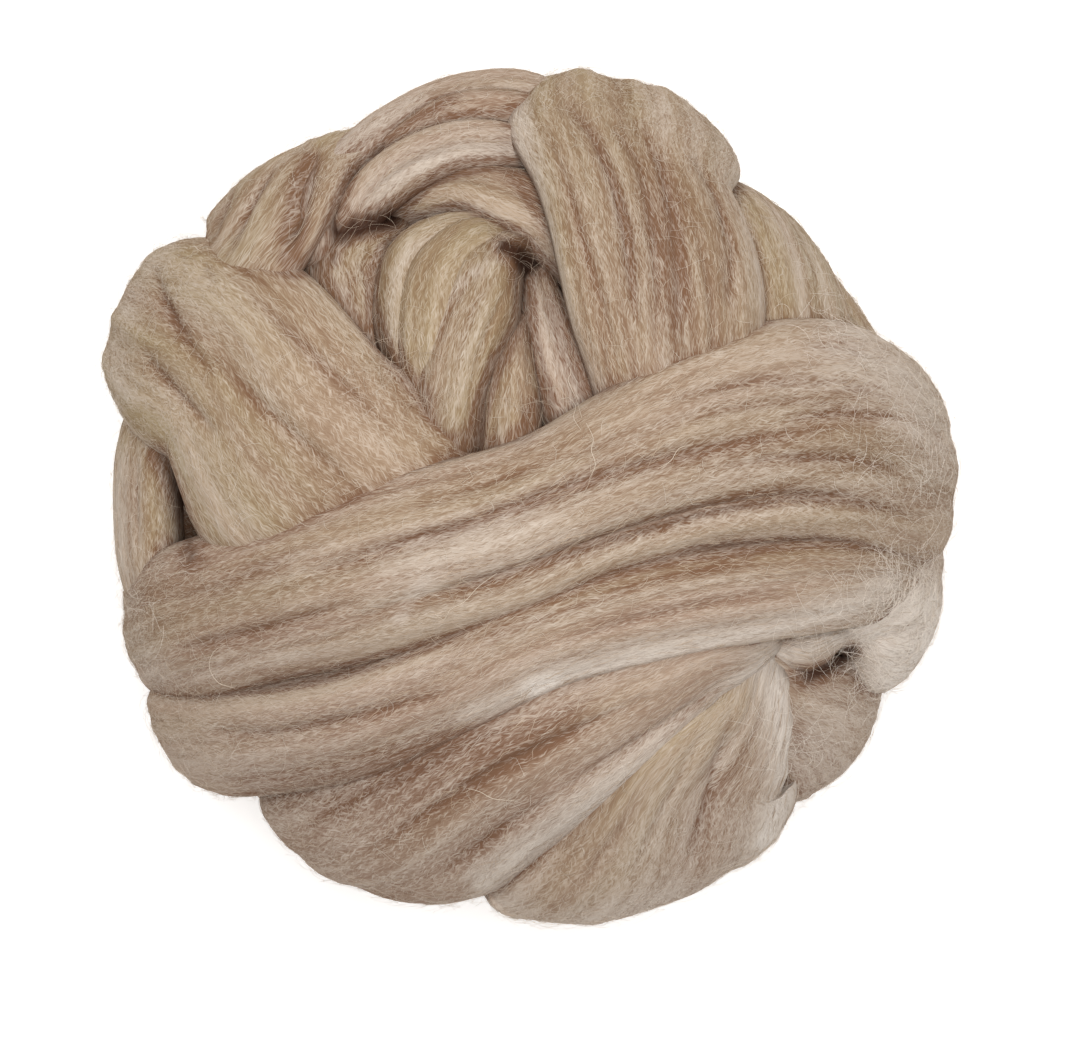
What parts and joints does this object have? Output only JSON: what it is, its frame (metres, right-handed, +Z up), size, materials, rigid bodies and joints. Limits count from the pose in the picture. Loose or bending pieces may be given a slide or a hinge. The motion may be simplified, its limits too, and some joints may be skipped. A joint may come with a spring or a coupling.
{
  "type": "wool roving ball",
  "caption": "Loosely wound ball of combed wool roving for spinning and felting, a soft band wound round itself, with a small flat spot to rest on.",
  "frame": {"origin": "centre of the bounding box's bottom face, on the surface that the ball rests on", "axes": "+Z up, the ball's short axis; +Y towards the top of the picture, where the right pass curls over the rim; +X to the picture's right"},
  "size_m": [0.1804, 0.1785, 0.1138],
  "materials": {
    "natural_wool": "matt combed fibre, natural oat beige"
  },
  "bodies": {
    "root": {"wound_roving": "natural_wool"}
  },
  "joints": []
}
